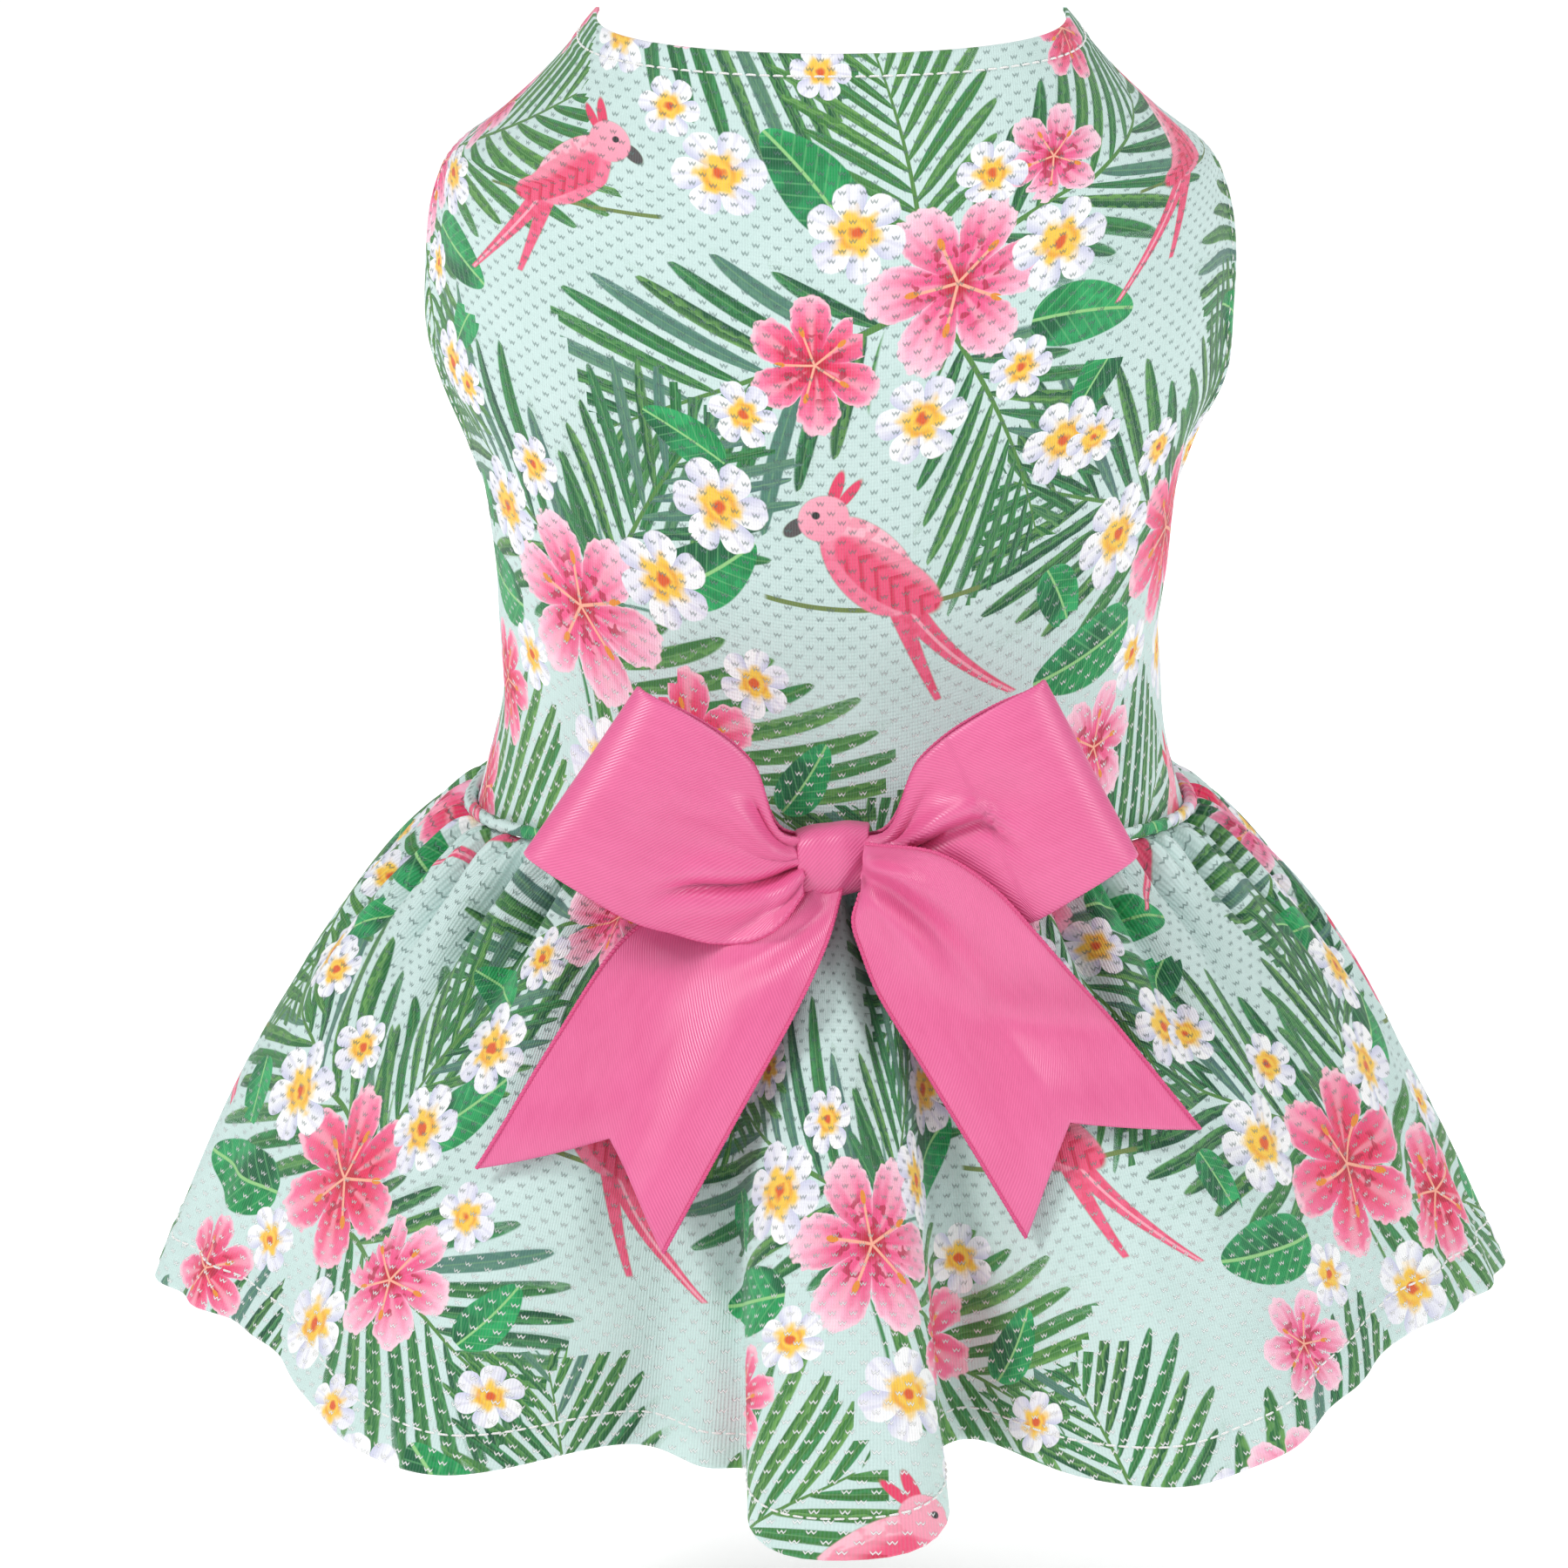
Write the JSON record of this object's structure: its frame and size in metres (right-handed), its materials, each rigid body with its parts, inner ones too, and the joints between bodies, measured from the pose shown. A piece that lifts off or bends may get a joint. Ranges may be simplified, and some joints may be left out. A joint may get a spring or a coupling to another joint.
{
  "type": "dog dress",
  "caption": "Sleeveless dress for a small dog: fitted bodice with two leg holes, piped waist, gathered skirt open under the belly, and a ribbon bow.",
  "frame": {"origin": "middle of the neck opening, level with the rim at the sides of the neck", "axes": "+Z out of the neck opening towards the head, -Y out of the dog's back where the bow is, +X to the right as seen from the bow's side"},
  "size_m": [0.2358, 0.1745, 0.2474],
  "materials": {
    "printed_mesh": "matt polyester eyelet mesh with a printed tropical pattern on pale mint",
    "satin_ribbon": "pink satin ribbon with a soft sheen and woven edges"
  },
  "bodies": {
    "root": {"back_panel": "printed_mesh", "belly_panel": "printed_mesh", "skirt": "printed_mesh", "waist_piping": "printed_mesh", "bow_knot": "satin_ribbon", "bow_loop_left": "satin_ribbon", "bow_loop_right": "satin_ribbon", "bow_tail_left": "satin_ribbon", "bow_tail_right": "satin_ribbon"}
  },
  "joints": []
}
